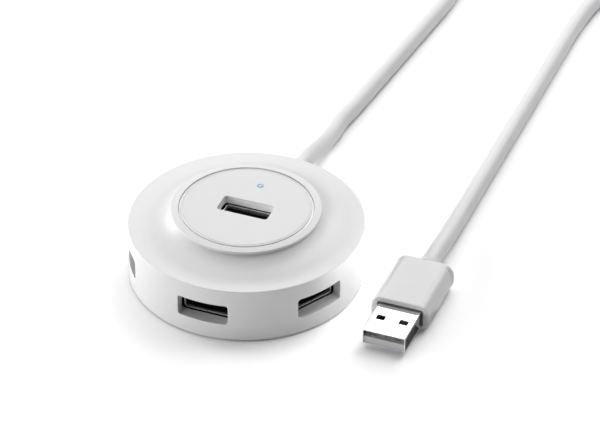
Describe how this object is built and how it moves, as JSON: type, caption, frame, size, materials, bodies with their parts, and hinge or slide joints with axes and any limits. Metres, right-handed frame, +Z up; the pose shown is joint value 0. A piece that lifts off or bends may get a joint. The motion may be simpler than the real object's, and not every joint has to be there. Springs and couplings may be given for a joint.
{
  "type": "round usb hub",
  "caption": "Round white desktop USB hub: a raised top disc with a port and a light, ports around the side wall, and a captive cable with a flat plug.",
  "frame": {"origin": "centre of the base, on the surface that the hub stands on", "axes": "+Z up through the top port; -Y out of the middle side port; +Y along the cable as it leaves the wall"},
  "size_m": [0.0884, 0.2653, 0.021],
  "materials": {
    "housing_white": "glossy side wall, satin shoulder",
    "disc_white": "fine satin",
    "base_white": "matte",
    "foot_rubber": "matte",
    "screw_steel": "zinc plated",
    "board_green": "solder mask",
    "pipe_clear": "clear, lit pale blue",
    "led_blue": "clear resin",
    "port_steel": "nickel plated",
    "tongue_black": "matte",
    "contact_gold": "gold plated",
    "chip_black": "matte moulding",
    "can_steel": "drawn can",
    "can_aluminium": "drawn can",
    "ceramic_tan": "fired ceramic",
    "resistor_black": "matte",
    "fuse_green": "matte",
    "cable_white": "satin soft jacket",
    "wire_red": "gloss",
    "wire_white": "gloss",
    "wire_green": "gloss",
    "wire_black": "gloss",
    "tie_grey": "matte strap",
    "grip_white": "satin soft moulding",
    "plug_steel": "nickel plated, polished",
    "insulator_grey": "satin"
  },
  "bodies": {
    "root": {"upper_housing": "housing_white", "top_disc": "disc_white", "base_cover": "base_white", "foot_front": "foot_rubber", "foot_right": "foot_rubber", "foot_back": "foot_rubber", "foot_left": "foot_rubber", "base_screws": "screw_steel", "main_pcb": "board_green", "light_pipe": "pipe_clear", "power_led": "led_blue", "port_left_shell": "port_steel", "port_left_tongue": "tongue_black", "port_left_contacts": "contact_gold", "port_front_shell": "port_steel", "port_front_tongue": "tongue_black", "port_front_contacts": "contact_gold", "port_right_shell": "port_steel", "port_right_tongue": "tongue_black", "port_right_contacts": "contact_gold", "port_top_shell": "port_steel", "port_top_tongue": "tongue_black", "port_top_contacts": "contact_gold", "hub_chip": "chip_black", "crystal": "can_steel", "bulk_capacitor": "can_aluminium", "chip_capacitors": "ceramic_tan", "chip_resistors": "resistor_black", "resettable_fuses": "fuse_green", "cable_gland": "cable_white", "cable_stub": "cable_white", "wire_red": "wire_red", "wire_white": "wire_white", "wire_green": "wire_green", "wire_black": "wire_black", "cord_hub_run": "cable_white", "cord_coil": "cable_white", "cord_tie": "tie_grey", "cord_plug_run": "cable_white", "plug_boot": "grip_white", "plug_grip": "grip_white", "plug_shell": "plug_steel", "plug_insulator": "insulator_grey", "plug_contacts": "contact_gold"}
  },
  "joints": []
}
